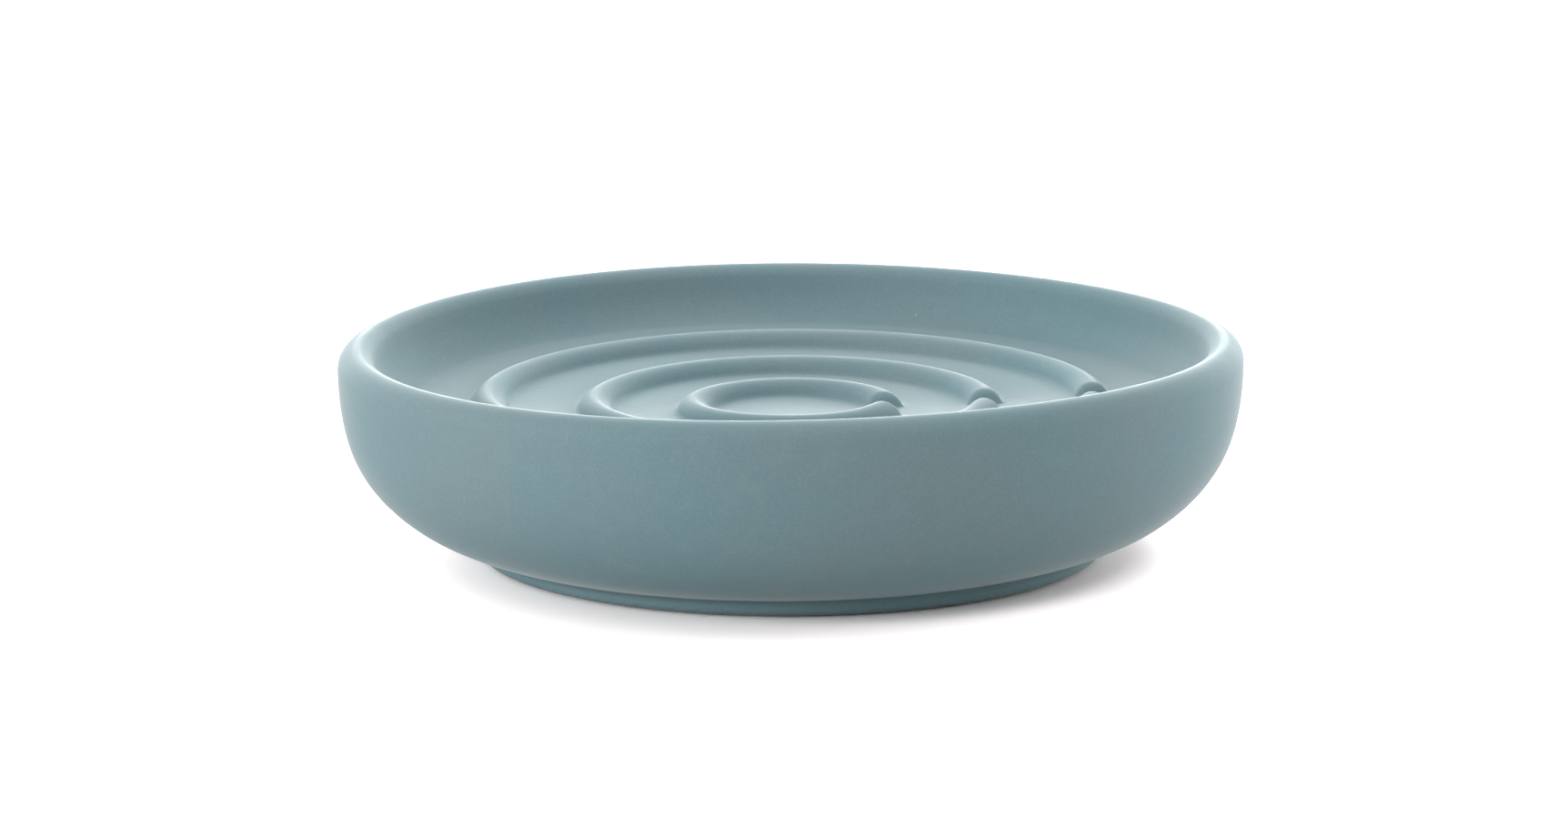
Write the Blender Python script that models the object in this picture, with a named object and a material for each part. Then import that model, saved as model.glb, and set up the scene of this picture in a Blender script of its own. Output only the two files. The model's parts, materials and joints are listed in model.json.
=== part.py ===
"""A round porcelain soap dish on four soft pads.

The dish is one hollow casting. Half of its section is drawn from named sizes and
turned about +Z: the dished floor with its ridges, the inner wall, the round lip, the
belly, the foot ring, and the hollow that the slip was drained from, open underneath.
A drain channel is then cut through the ridges, and a pocket for each pad.

Sizes are in metres. +Z is up. The origin is on the table, on the dish's axis.
"""

import math

import bmesh
import bpy

# Overall
OUTER_DIAMETER = 0.1200
HEIGHT = 0.0292

# Lip: its crest lies between a fuller outer round and a tighter inner one
LIP_OUTER_WIDTH = 0.0027
LIP_OUTER_DROP = 0.0026
LIP_INNER_WIDTH = 0.0020
LIP_INNER_DROP = 0.0022

# Bowl
BOWL_DEPTH = 0.0103
FLOOR_SINK = 0.0031
FLOOR_FILLET_RADIUS = 0.0030
INNER_WALL_DRAFT = math.radians(11.0)

# Belly: one cubic curve from the widest circle down to the foot
BELLY_TOP_HANDLE_SHARE = 0.61
BELLY_FOOT_HANDLE_SHARE = 0.645
BELLY_FOOT_SLOPE = math.radians(9.5)

# Foot ring
FOOT_DIAMETER = 0.0802
FOOT_HEIGHT = 0.0021
FOOT_RING_WIDTH = 0.0085
FOOT_BLEND_RADIUS = 0.0010
FOOT_EDGE_RADIUS = 0.0005

# Walls of the casting
FLOOR_THICKNESS = 0.0048
WALL_THICKNESS = 0.0045
HOLLOW_CORNER_RADIUS = 0.0030

# Ridges: half-round bars that stand on the floor, one inside the other
RIDGE_PLACE_SHARES = (0.235, 0.478, 0.736)
RIDGE_WIDTH = 0.0055
RIDGE_HEIGHT = 0.0019
RIDGE_TOP_SHARE = 0.78

# Drain channel through the ridges
CHANNEL_WIDTH = 0.0064
CHANNEL_AZIMUTH = math.radians(-5.8)
CHANNEL_END_ROUNDING = 0.0014
CHANNEL_LIFT = 0.00005

# Pads
PAD_COUNT = 4
PAD_DIAMETER = 0.0054
PAD_THICKNESS = 0.0010
PAD_STAND = 0.0003
PAD_EDGE = 0.0002
PAD_CLEARANCE = 0.0003
PAD_AZIMUTH_FROM_CHANNEL = math.radians(45.0)

# One overrun for every cut
CUT_OVERRUN = 0.0010

# Counts of facets
DISH_STEPS = 64
PAD_STEPS = 20
BELLY_STEPS = 12
RIDGE_TOP_STEPS = 6
RIDGE_TOE_STEPS = 2
LIP_STEPS = 4
FILLET_STEPS = 3
EDGE_STEPS = 1
ROUNDING_STEPS = 3
CHANNEL_STATIONS = 9

MERGE_DISTANCE = 0.000001

# Sizes that follow from the ones above
outer_radius = OUTER_DIAMETER / 2
foot_radius = FOOT_DIAMETER / 2
mouth_radius = foot_radius - FOOT_RING_WIDTH
crest_radius = outer_radius - LIP_OUTER_WIDTH
floor_centre_height = HEIGHT - BOWL_DEPTH
floor_edge_height = floor_centre_height + FLOOR_SINK
lip_inner_height = HEIGHT - LIP_INNER_DROP
wall_lean = (lip_inner_height - floor_edge_height) * math.tan(INNER_WALL_DRAFT)
floor_radius = crest_radius - LIP_INNER_WIDTH - wall_lean
pad_circle_radius = foot_radius - FOOT_RING_WIDTH / 2


def floor_height(radius):
    """The floor is dished: it rises with the square of the distance from the axis."""
    return floor_centre_height + FLOOR_SINK * (radius / floor_radius) ** 2


def rounded_corner(before, corner, after, radius, steps):
    """Points of an arc that touches both lines of a corner, no longer than either line."""
    to_before = (before[0] - corner[0], before[1] - corner[1])
    to_after = (after[0] - corner[0], after[1] - corner[1])
    length_before = math.hypot(*to_before)
    length_after = math.hypot(*to_after)
    unit_before = (to_before[0] / length_before, to_before[1] / length_before)
    unit_after = (to_after[0] / length_after, to_after[1] / length_after)
    half_angle = 0.5 * math.acos(unit_before[0] * unit_after[0] + unit_before[1] * unit_after[1])
    reach = min(radius / math.tan(half_angle), 0.9 * length_before, 0.9 * length_after)
    radius = reach * math.tan(half_angle)
    middle = (unit_before[0] + unit_after[0], unit_before[1] + unit_after[1])
    to_centre = radius / math.sin(half_angle) / math.hypot(*middle)
    centre = (corner[0] + middle[0] * to_centre, corner[1] + middle[1] * to_centre)
    start = (corner[0] + unit_before[0] * reach, corner[1] + unit_before[1] * reach)
    end = (corner[0] + unit_after[0] * reach, corner[1] + unit_after[1] * reach)
    first = math.atan2(start[1] - centre[1], start[0] - centre[0])
    last = math.atan2(end[1] - centre[1], end[0] - centre[0])
    sweep = (last - first + math.pi) % (2 * math.pi) - math.pi
    angles = [first + sweep * step / steps for step in range(steps + 1)]
    return [(centre[0] + radius * math.cos(a), centre[1] + radius * math.sin(a)) for a in angles]


def ridge_section(place):
    """One ridge on the floor, from its inner toe to its outer toe.

    The round top and the two hollow toes are arcs that meet without a kink. Their
    turn follows from the ridge's width and height alone.
    """
    half_width = RIDGE_WIDTH / 2
    turn = 2 * math.atan(RIDGE_HEIGHT / half_width)
    both_radii = half_width / math.sin(turn)
    top_radius = RIDGE_TOP_SHARE * both_radii
    toe_radius = both_radii - top_radius
    toe_angles = [turn * step / RIDGE_TOE_STEPS for step in range(RIDGE_TOE_STEPS)]
    top_angles = [turn * (2 * step / RIDGE_TOP_STEPS - 1) for step in range(RIDGE_TOP_STEPS + 1)]
    inner_toe = [(toe_radius * math.sin(a) - half_width, toe_radius * (1 - math.cos(a))) for a in toe_angles]
    top = [(top_radius * math.sin(a), RIDGE_HEIGHT - top_radius * (1 - math.cos(a))) for a in top_angles]
    outer_toe = [(-across, rise) for across, rise in reversed(inner_toe)]
    return [
        (place + across, floor_height(place + across) + rise)
        for across, rise in inner_toe + top + outer_toe
    ]


def lip_section():
    """Up the inner round to the crest, then down the outer round to the widest circle."""
    inner_turn = math.atan2(LIP_INNER_WIDTH, LIP_INNER_DROP * math.tan(INNER_WALL_DRAFT))
    inner = []
    for step in range(LIP_STEPS):
        a = inner_turn * (1 - step / LIP_STEPS)
        inner.append((crest_radius - LIP_INNER_WIDTH * math.sin(a), HEIGHT - LIP_INNER_DROP * (1 - math.cos(a))))
    outer = []
    for step in range(LIP_STEPS + 1):
        a = math.pi / 2 * step / LIP_STEPS
        outer.append((crest_radius + LIP_OUTER_WIDTH * math.sin(a), HEIGHT - LIP_OUTER_DROP * (1 - math.cos(a))))
    return inner + outer


def belly_curve(share):
    """A point on the belly and its inward normal, from share 0 at the lip to 1 at the foot."""
    top = (outer_radius, HEIGHT - LIP_OUTER_DROP)
    foot = (foot_radius, FOOT_HEIGHT)
    top_handle = BELLY_TOP_HANDLE_SHARE * (top[1] - foot[1])
    foot_handle = BELLY_FOOT_HANDLE_SHARE * (top[0] - foot[0])
    near_top = (top[0], top[1] - top_handle)
    near_foot = (
        foot[0] + foot_handle * math.cos(BELLY_FOOT_SLOPE),
        foot[1] + foot_handle * math.sin(BELLY_FOOT_SLOPE),
    )
    rest = 1 - share
    point = []
    along = []
    for axis in range(2):
        a, b, c, d = top[axis], near_top[axis], near_foot[axis], foot[axis]
        point.append(rest**3 * a + 3 * rest**2 * share * b + 3 * rest * share**2 * c + share**3 * d)
        along.append(rest**2 * (b - a) + 2 * rest * share * (c - b) + share**2 * (d - c))
    length = math.hypot(*along)
    return tuple(point), (along[1] / length, -along[0] / length)


def foot_section():
    """From the belly into the foot's wall, round its outer edge and flat in to the mouth."""
    last_belly = belly_curve(1 - 1 / BELLY_STEPS)[0]
    joint = (foot_radius, FOOT_HEIGHT)
    outer_edge = (foot_radius, PAD_STAND)
    inner_edge = (mouth_radius, PAD_STAND)
    mouth_top = (mouth_radius, PAD_STAND + WALL_THICKNESS)
    blend = rounded_corner(last_belly, joint, outer_edge, FOOT_BLEND_RADIUS, FILLET_STEPS)
    outer = rounded_corner(joint, outer_edge, inner_edge, FOOT_EDGE_RADIUS, EDGE_STEPS)
    inner = rounded_corner(outer_edge, inner_edge, mouth_top, FOOT_EDGE_RADIUS, EDGE_STEPS)
    return blend + outer + inner


def hollow_section():
    """The hollow's wall: in over the foot ring, up inside the belly and across the ceiling."""
    offsets = []
    for step in range(BELLY_STEPS, -1, -1):
        point, inward = belly_curve(step / BELLY_STEPS)
        offsets.append((point[0] + WALL_THICKNESS * inward[0], point[1] + WALL_THICKNESS * inward[1]))
    edge_ceiling = floor_edge_height - FLOOR_THICKNESS
    side = [point for point in offsets if point[1] < edge_ceiling - HOLLOW_CORNER_RADIUS]
    corner = (side[-1][0], floor_height(side[-1][0]) - FLOOR_THICKNESS)
    middle = (mouth_radius, floor_height(mouth_radius) - FLOOR_THICKNESS)
    centre = (0, floor_centre_height - FLOOR_THICKNESS)
    inner_edge = (mouth_radius, PAD_STAND)
    mouth_top = (mouth_radius, PAD_STAND + WALL_THICKNESS)
    mouth = rounded_corner(inner_edge, mouth_top, side[0], FOOT_EDGE_RADIUS, EDGE_STEPS)
    top = rounded_corner(side[-1], corner, middle, HOLLOW_CORNER_RADIUS, FILLET_STEPS)
    return mouth + side + top + [middle, centre]


def dish_section():
    """Half of the dish's section, from the middle of its floor round to the hollow's ceiling."""
    points = [(0, floor_centre_height)]
    for share in RIDGE_PLACE_SHARES:
        points += ridge_section(share * floor_radius)
    floor_edge = (floor_radius, floor_edge_height)
    lip = lip_section()
    points += rounded_corner(points[-1], floor_edge, lip[0], FLOOR_FILLET_RADIUS, FILLET_STEPS)
    points += lip
    points += [belly_curve(step / BELLY_STEPS)[0] for step in range(1, BELLY_STEPS)]
    points += foot_section()
    points += hollow_section()
    return points


def turned(name, section, steps):
    """An object turned about +Z from a section that runs down its outer side."""
    mesh = bpy.data.meshes.new(name)
    edges = [(i, i + 1) for i in range(len(section) - 1)]
    mesh.from_pydata([(radius, 0, height) for radius, height in section], edges, [])
    turned_object = bpy.data.objects.new(name, mesh)
    bpy.context.collection.objects.link(turned_object)
    screw = turned_object.modifiers.new("turn", "SCREW")
    screw.steps = steps
    screw.render_steps = steps
    screw.use_merge_vertices = True
    screw.merge_threshold = MERGE_DISTANCE
    screw.use_smooth_shade = True
    return turned_object


def channel_outline(height):
    """The channel's cross-section at a place where the floor has this height."""
    half = CHANNEL_WIDTH / 2
    shoulder = RIDGE_HEIGHT - CHANNEL_END_ROUNDING
    top = height + RIDGE_HEIGHT + CUT_OVERRUN
    side = [(half, height + CHANNEL_LIFT)]
    for step in range(ROUNDING_STEPS):
        a = math.pi / 2 * step / ROUNDING_STEPS
        across = half + CHANNEL_END_ROUNDING * (1 - math.cos(a))
        side.append((across, height + shoulder + CHANNEL_END_ROUNDING * math.sin(a)))
    side.append((side[-1][0], top))
    return side + [(-across, rise) for across, rise in reversed(side)]


def channel_cutter():
    """A bar along +X whose underside follows the floor, turned to the channel's direction."""
    reach = RIDGE_WIDTH / 2 + CUT_OVERRUN
    first = RIDGE_PLACE_SHARES[0] * floor_radius - reach
    last = RIDGE_PLACE_SHARES[-1] * floor_radius + reach
    bm = bmesh.new()
    loops = []
    for station in range(CHANNEL_STATIONS):
        along = first + (last - first) * station / (CHANNEL_STATIONS - 1)
        outline = channel_outline(floor_height(along))
        loops.append([bm.verts.new((along, across, height)) for across, height in outline])
    for loop, following in zip(loops, loops[1:]):
        for i in range(len(loop)):
            j = (i + 1) % len(loop)
            bm.faces.new((loop[i], loop[j], following[j], following[i]))
    bm.faces.new(loops[0])
    bm.faces.new(loops[-1])
    bmesh.ops.recalc_face_normals(bm, faces=bm.faces)
    mesh = bpy.data.meshes.new("channel_cutter")
    bm.to_mesh(mesh)
    bm.free()
    cutter = bpy.data.objects.new("channel_cutter", mesh)
    cutter.rotation_euler.z = CHANNEL_AZIMUTH
    return cutter


def pad_place(index):
    azimuth = CHANNEL_AZIMUTH + PAD_AZIMUTH_FROM_CHANNEL + 2 * math.pi * index / PAD_COUNT
    return (pad_circle_radius * math.cos(azimuth), pad_circle_radius * math.sin(azimuth), 0), azimuth


def pocket_cutter(index):
    """A round pocket in the foot, a clearance wider and deeper than the pad."""
    bm = bmesh.new()
    top = PAD_THICKNESS + PAD_CLEARANCE
    bottom = PAD_STAND - CUT_OVERRUN
    radius = PAD_DIAMETER / 2 + PAD_CLEARANCE
    bmesh.ops.create_cone(
        bm, cap_ends=True, segments=PAD_STEPS, radius1=radius, radius2=radius, depth=top - bottom
    )
    bmesh.ops.translate(bm, verts=bm.verts, vec=(0, 0, (top + bottom) / 2))
    mesh = bpy.data.meshes.new("pocket_cutter")
    bm.to_mesh(mesh)
    bm.free()
    cutter = bpy.data.objects.new(f"pocket_cutter_{index + 1}", mesh)
    cutter.location, cutter.rotation_euler.z = pad_place(index)
    return cutter


def material(name, colour, roughness):
    made = bpy.data.materials.new(name)
    made.use_nodes = True
    shader = made.node_tree.nodes["Principled BSDF"]
    shader.inputs["Base Color"].default_value = (*colour, 1)
    shader.inputs["Roughness"].default_value = roughness
    shader.inputs["Metallic"].default_value = 0
    return made


def make_dish():
    """The casting: the turned body, less the drain channel and the pads' pockets."""
    dish = turned("dish_body", dish_section(), DISH_STEPS)
    cutters = bpy.data.collections.new("cutters")
    bpy.context.scene.collection.children.link(cutters)
    for cutter in [channel_cutter()] + [pocket_cutter(index) for index in range(PAD_COUNT)]:
        cutters.objects.link(cutter)
        cutter.hide_render = True
        cutter.display_type = "WIRE"
    cuts = dish.modifiers.new("channel_and_pockets", "BOOLEAN")
    cuts.operation = "DIFFERENCE"
    cuts.solver = "EXACT"
    cuts.operand_type = "COLLECTION"
    cuts.collection = cutters
    dish.data.materials.append(material("matt_coated_porcelain", (0.134, 0.224, 0.244), 0.62))
    return dish


def make_pads(dish):
    """Soft discs, each in its pocket, standing a little below the foot."""
    radius = PAD_DIAMETER / 2
    section = [
        (0, PAD_THICKNESS),
        (radius, PAD_THICKNESS),
        (radius, PAD_EDGE),
        (radius - PAD_EDGE, 0),
        (0, 0),
    ]
    rubber = material("grey_silicone", (0.42, 0.43, 0.43), 0.55)
    first = turned("anti_slip_pad_1", section, PAD_STEPS)
    first.data.materials.append(rubber)
    pads = [first]
    for index in range(1, PAD_COUNT):
        pad = first.copy()
        pad.name = f"anti_slip_pad_{index + 1}"
        bpy.context.collection.objects.link(pad)
        pads.append(pad)
    for index, pad in enumerate(pads):
        pad.location, pad.rotation_euler.z = pad_place(index)
        pad.parent = dish


def main():
    for old in list(bpy.data.objects):
        bpy.data.objects.remove(old)
    dish = make_dish()
    make_pads(dish)


main()
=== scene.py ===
# %% [markdown]
# # A round porcelain soap dish, surface by surface
#
# The CAD model of this dish is a hollow casting and four pads. It knows how wide they are,
# how high, and where they lie. It is faceted, because it was made to be measured and
# dropped on a table. This file makes the surface that a camera sees. Every new piece
# stands in the same place as the CAD node that it replaces, in metres, with +Z up.

# %% Load the CAD model
import json
import math

import bpy
import numpy as np
from mathutils import Matrix, Vector

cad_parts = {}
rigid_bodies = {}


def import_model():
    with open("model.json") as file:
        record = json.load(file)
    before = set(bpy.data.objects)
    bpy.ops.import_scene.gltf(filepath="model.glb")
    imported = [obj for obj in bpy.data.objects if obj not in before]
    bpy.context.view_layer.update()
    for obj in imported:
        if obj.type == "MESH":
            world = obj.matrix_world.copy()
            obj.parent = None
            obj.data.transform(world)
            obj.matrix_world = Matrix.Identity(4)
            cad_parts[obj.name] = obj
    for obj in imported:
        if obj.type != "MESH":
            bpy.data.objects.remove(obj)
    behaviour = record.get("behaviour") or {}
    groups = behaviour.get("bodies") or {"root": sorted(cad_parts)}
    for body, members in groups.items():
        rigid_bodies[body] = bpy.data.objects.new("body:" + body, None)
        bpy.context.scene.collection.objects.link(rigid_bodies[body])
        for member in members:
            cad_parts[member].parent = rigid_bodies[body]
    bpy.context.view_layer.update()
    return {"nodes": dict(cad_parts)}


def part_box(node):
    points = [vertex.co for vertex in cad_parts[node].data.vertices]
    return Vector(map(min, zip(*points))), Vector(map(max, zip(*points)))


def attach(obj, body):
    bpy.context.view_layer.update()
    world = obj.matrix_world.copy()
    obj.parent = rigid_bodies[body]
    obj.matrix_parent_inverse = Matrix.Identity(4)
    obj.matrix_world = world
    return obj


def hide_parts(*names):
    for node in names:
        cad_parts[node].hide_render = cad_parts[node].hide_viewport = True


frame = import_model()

print("CAD nodes:", sorted(frame["nodes"]))

# %% [markdown]
# ## Sizes that the solids give
#
# The outer sizes are read from the CAD solids, so this file can't disagree with them. The
# dish stands on its pads, so the underside of its foot lies a little above the table.

# %% Sizes read from the CAD solids
dish_low, dish_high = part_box("dish_body")
outer_radius = (dish_high.x - dish_low.x) / 2
rim_height = dish_high.z
foot_level = dish_low.z
pad_names = sorted(name for name in frame["nodes"] if name.startswith("anti_slip_pad"))
print("outer radius", outer_radius, "rim height", rim_height, "foot level", foot_level)

# %% [markdown]
# ## Sizes inside the outline
#
# The other sizes, such as the ridges' section, can't be read from a box, so they are named
# here once. They have the solids' values but for a few that the photo corrects. The foot is
# 3 mm wider and rounder underneath, the fillet round the floor is wider, the channel runs
# about three degrees closer to +X, and the inner and the outer ridge stand up to 0.2 mm
# further out. The belly's curve ends inside the foot ring, whose wall cuts it further out.

# %% Sizes of the section
LIP_OUTER_WIDTH = 0.0027
LIP_OUTER_DROP = 0.0026
LIP_INNER_WIDTH = 0.0020
LIP_INNER_DROP = 0.0022

BOWL_DEPTH = 0.0103
FLOOR_SINK = 0.0031
FLOOR_FILLET_RADIUS = 0.0055
INNER_WALL_DRAFT = math.radians(11.0)

BELLY_END_RADIUS = 0.0401
BELLY_END_HEIGHT = 0.0021
BELLY_END_SLOPE = math.radians(9.5)
BELLY_TOP_HANDLE_SHARE = 0.61
BELLY_END_HANDLE_SHARE = 0.645

FOOT_RADIUS = 0.0416
FOOT_RING_WIDTH = 0.0100
FOOT_BLEND_RADIUS = 0.0012
FOOT_OUTER_EDGE_RADIUS = 0.0010
FOOT_INNER_EDGE_RADIUS = 0.0005

FLOOR_THICKNESS = 0.0048
WALL_THICKNESS = 0.0045
HOLLOW_CORNER_RADIUS = 0.0030

RIDGE_PLACE_SHARES = (0.238, 0.478, 0.737)
RIDGE_WIDTH = 0.0055
RIDGE_HEIGHT = 0.0019
RIDGE_TOP_SHARE = 0.78

CHANNEL_WIDTH = 0.0064
CHANNEL_AZIMUTH = math.radians(-2.5)

POCKET_CLEARANCE = 0.0003

crest_radius = outer_radius - LIP_OUTER_WIDTH
floor_centre_height = rim_height - BOWL_DEPTH
floor_edge_height = floor_centre_height + FLOOR_SINK
lip_inner_height = rim_height - LIP_INNER_DROP
wall_lean = (lip_inner_height - floor_edge_height) * math.tan(INNER_WALL_DRAFT)
floor_radius = crest_radius - LIP_INNER_WIDTH - wall_lean
mouth_radius = FOOT_RADIUS - FOOT_RING_WIDTH
print("the floor is dished from", floor_centre_height, "to", floor_edge_height)

# %% [markdown]
# ## The camera
#
# The photo was taken with a long lens from a little above the rim, which keeps the ellipse
# of the lip nearly symmetric from front to back. The distance and the elevation were found
# by matching the lip, the ridges and the foot. The dish sits a little to the right of and
# below the picture's centre, so the camera is aimed just above it and to its left.

# %% Camera at the photo's viewing angle
PICTURE_WIDTH = 1724
FOCAL_LENGTH_IN_PIXELS = 7023
SENSOR_WIDTH = 36
CAMERA_DISTANCE = 0.850
CAMERA_ELEVATION = math.radians(11.32)
CAMERA_ROLL = math.radians(-0.27)
ORBIT_HEIGHT = 0.014
AIM_POINT = Vector((-0.00091, 0, 0.01774))

camera_data = bpy.data.cameras.new("photo_camera")
camera_data.sensor_width = SENSOR_WIDTH
camera_data.lens = FOCAL_LENGTH_IN_PIXELS * SENSOR_WIDTH / PICTURE_WIDTH
camera = bpy.data.objects.new("photo_camera", camera_data)
bpy.context.scene.collection.objects.link(camera)
back = CAMERA_DISTANCE * math.cos(CAMERA_ELEVATION)
camera_place = Vector((0, -back, ORBIT_HEIGHT + CAMERA_DISTANCE * math.sin(CAMERA_ELEVATION)))
facing = (AIM_POINT - camera_place).to_track_quat("-Z", "Y").to_matrix().to_4x4()
camera.matrix_world = Matrix.Translation(camera_place) @ facing @ Matrix.Rotation(CAMERA_ROLL, 4, "Z")
bpy.context.scene.camera = camera
print("lens", round(camera_data.lens, 1), "mm from", round(CAMERA_DISTANCE, 2), "m away")

# %% [markdown]
# ## The section, as a function
#
# The real dish is cast in a mould that was turned on a wheel, so its whole shape is one
# section swept round the axis. The section is worked out here as arrays of radius and
# height. Straight stretches take few points and tight rounds take many.

# %% Helpers for the section
LONGEST_REACH_SHARE = 0.9


def column(radii, heights):
    """Radii and heights side by side, one point to a row."""
    radii, heights = np.broadcast_arrays(np.asarray(radii, float), np.asarray(heights, float))
    return np.stack([radii, heights], axis=1)


def rounded(before, corner, after, radius, count):
    """The arc that touches both lines of a corner.

    The arc starts at a reach of radius / tan(half the corner's angle) from the corner, and
    the reach is no longer than nine tenths of either line. The centre lies on the corner's
    bisector, and the points are spaced evenly in angle.
    """
    before, corner, after = (np.asarray(point, float) for point in (before, corner, after))
    length_before = np.linalg.norm(before - corner)
    length_after = np.linalg.norm(after - corner)
    to_before = (before - corner) / length_before
    to_after = (after - corner) / length_after
    half_angle = 0.5 * np.arccos(to_before @ to_after)
    reach = min(radius / np.tan(half_angle), LONGEST_REACH_SHARE * min(length_before, length_after))
    radius = reach * np.tan(half_angle)
    bisector = (to_before + to_after) / np.linalg.norm(to_before + to_after)
    centre = corner + bisector * radius / np.sin(half_angle)
    start = corner + to_before * reach - centre
    end = corner + to_after * reach - centre
    first = np.arctan2(start[1], start[0])
    sweep = (np.arctan2(end[1], end[0]) - first + np.pi) % (2 * np.pi) - np.pi
    angles = first + sweep * np.linspace(0, 1, count + 1)
    return column(centre[0] + radius * np.cos(angles), centre[1] + radius * np.sin(angles))


def floor_height(radius):
    """The dished floor: its height grows with the square of the distance from the axis."""
    return floor_centre_height + FLOOR_SINK * (np.asarray(radius) / floor_radius) ** 2


print("the floor rises", round(1000 * FLOOR_SINK, 2), "mm over a radius of", round(1000 * floor_radius, 2))

# %% [markdown]
# ## The ridges
#
# Each ridge is a half-round bar that is blended into the floor. Its section is three arcs:
# a hollow toe, the round top and another hollow toe. The arcs meet without a kink when the
# top turns through twice the angle whose tangent is height over half the width.

# %% The ridges' section
TOP_ARC_STEPS = 16
TOE_ARC_STEPS = 5
ridge_places = np.array(RIDGE_PLACE_SHARES) * floor_radius
half_ridge = RIDGE_WIDTH / 2
ridge_turn = 2 * math.atan(RIDGE_HEIGHT / half_ridge)
top_arc_radius = RIDGE_TOP_SHARE * half_ridge / math.sin(ridge_turn)
toe_arc_radius = (1 - RIDGE_TOP_SHARE) * half_ridge / math.sin(ridge_turn)


def ridge_radii(place):
    """The radii at which one ridge is sampled: even steps of angle along its three arcs."""
    toe = half_ridge - toe_arc_radius * np.sin(np.linspace(0, ridge_turn, TOE_ARC_STEPS + 1)[:-1])
    top = top_arc_radius * np.sin(np.linspace(-ridge_turn, ridge_turn, TOP_ARC_STEPS + 1))
    return place + np.concatenate([-toe, top, toe[::-1]])


def ridge_rise(radius):
    """How far the ridges stand over the floor: the nearest ridge's top arc or toe arc."""
    across = np.abs(np.asarray(radius)[:, None] - ridge_places).min(axis=1)
    top = RIDGE_HEIGHT - top_arc_radius + np.sqrt(np.clip(top_arc_radius**2 - across**2, 0, None))
    into_toe = np.clip(half_ridge - across, 0, toe_arc_radius)
    toe = toe_arc_radius - np.sqrt(toe_arc_radius**2 - into_toe**2)
    return np.where(across < top_arc_radius * math.sin(ridge_turn), top, toe)


print("ridges at radii", ridge_places.round(5), "with flanks of", round(math.degrees(ridge_turn)), "degrees")

# %% [markdown]
# ## From the middle of the floor to the lip
#
# The floor's rows are close together on the ridges and wide apart between them. The inner
# wall rises from a fillet, and the lip is two quarter rounds: a fuller one outside and a
# tighter one inside, as a potter's sponge leaves them.

# %% Floor, inner wall and lip
FLOOR_ROWS = 6
FILLET_STEPS = 9
LIP_STEPS = 10
FILLET_ROOM_SHARE = 1.5


def floor_radii():
    """Radii from the axis to the room that the fillet needs, through the three ridges."""
    toes = np.concatenate([[0.0], *[place + half_ridge * np.array([-1, 1]) for place in ridge_places]])
    ends = np.append(toes, floor_radius - FILLET_ROOM_SHARE * FLOOR_FILLET_RADIUS)
    gaps = [np.linspace(start, end, FLOOR_ROWS + 1)[1:-1] for start, end in zip(ends[0::2], ends[1::2])]
    ridges = [ridge_radii(place) for place in ridge_places]
    return np.concatenate([part for pair in zip(gaps, ridges) for part in pair] + [gaps[-1]])


def lip_section():
    """Up the inner quarter round to the crest, then down the outer one to the widest circle.

    Each round is a quarter of an ellipse: width * sin(turn) across, and a drop of
    depth * (1 - cos(turn)) from the crest. The inner one stops where the wall's lean meets it.
    """
    inner_turn = math.atan2(LIP_INNER_WIDTH, LIP_INNER_DROP * math.tan(INNER_WALL_DRAFT))
    inner = inner_turn * np.linspace(1, 0, LIP_STEPS + 1)[:-1]
    outer = math.pi / 2 * np.linspace(0, 1, LIP_STEPS + 1)
    inner_radii = crest_radius - LIP_INNER_WIDTH * np.sin(inner)
    outer_radii = crest_radius + LIP_OUTER_WIDTH * np.sin(outer)
    return np.concatenate([
        column(inner_radii, rim_height - LIP_INNER_DROP * (1 - np.cos(inner))),
        column(outer_radii, rim_height - LIP_OUTER_DROP * (1 - np.cos(outer))),
    ])


radii = floor_radii()
floor_rows = column(radii, floor_height(radii))
lip_rows = lip_section()
wall_foot = (floor_radius, floor_edge_height)
fillet_rows = rounded(floor_rows[-1], wall_foot, lip_rows[0], FLOOR_FILLET_RADIUS, FILLET_STEPS)
print(len(floor_rows), "rows of floor,", len(fillet_rows), "of fillet,", len(lip_rows), "of lip")

# %% [markdown]
# ## The belly and the foot
#
# The belly is one cubic curve. It leaves the widest circle straight down and runs in almost
# level, which gives the dish its low, full look. The foot's wall cuts the curve, and a small
# blend joins the two, as a thumb would press it.

# %% Belly and foot
BELLY_STEPS = 40
BLEND_START_SHARE = 0.90
EDGE_STEPS = 4
RING_INSET_SHARE = 0.25
mouth_edge = (mouth_radius, foot_level)
mouth_top = (mouth_radius, foot_level + WALL_THICKNESS)


def belly_curve(shares):
    """Points and inward normals of the cubic curve, for shares from 0 at the lip to 1 at its end.

    With s = 1 - t, a point is s^3 top + 3 s^2 t near_top + 3 s t^2 near_end + t^3 end, and
    the direction there is s^2 (near_top - top) + 2 s t (near_end - near_top) + t^2 (end - near_end).
    """
    top = np.array([outer_radius, rim_height - LIP_OUTER_DROP])
    end = np.array([BELLY_END_RADIUS, BELLY_END_HEIGHT])
    near_top = top - [0, BELLY_TOP_HANDLE_SHARE * (top[1] - end[1])]
    slope = np.array([math.cos(BELLY_END_SLOPE), math.sin(BELLY_END_SLOPE)])
    near_end = end + BELLY_END_HANDLE_SHARE * (top[0] - end[0]) * slope
    t = np.asarray(shares, float)[:, None]
    s = 1 - t
    points = s**3 * top + 3 * s**2 * t * near_top + 3 * s * t**2 * near_end + t**3 * end
    along = s**2 * (near_top - top) + 2 * s * t * (near_end - near_top) + t**2 * (end - near_end)
    along /= np.linalg.norm(along, axis=1)[:, None]
    return points, column(along[:, 1], -along[:, 0])


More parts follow.
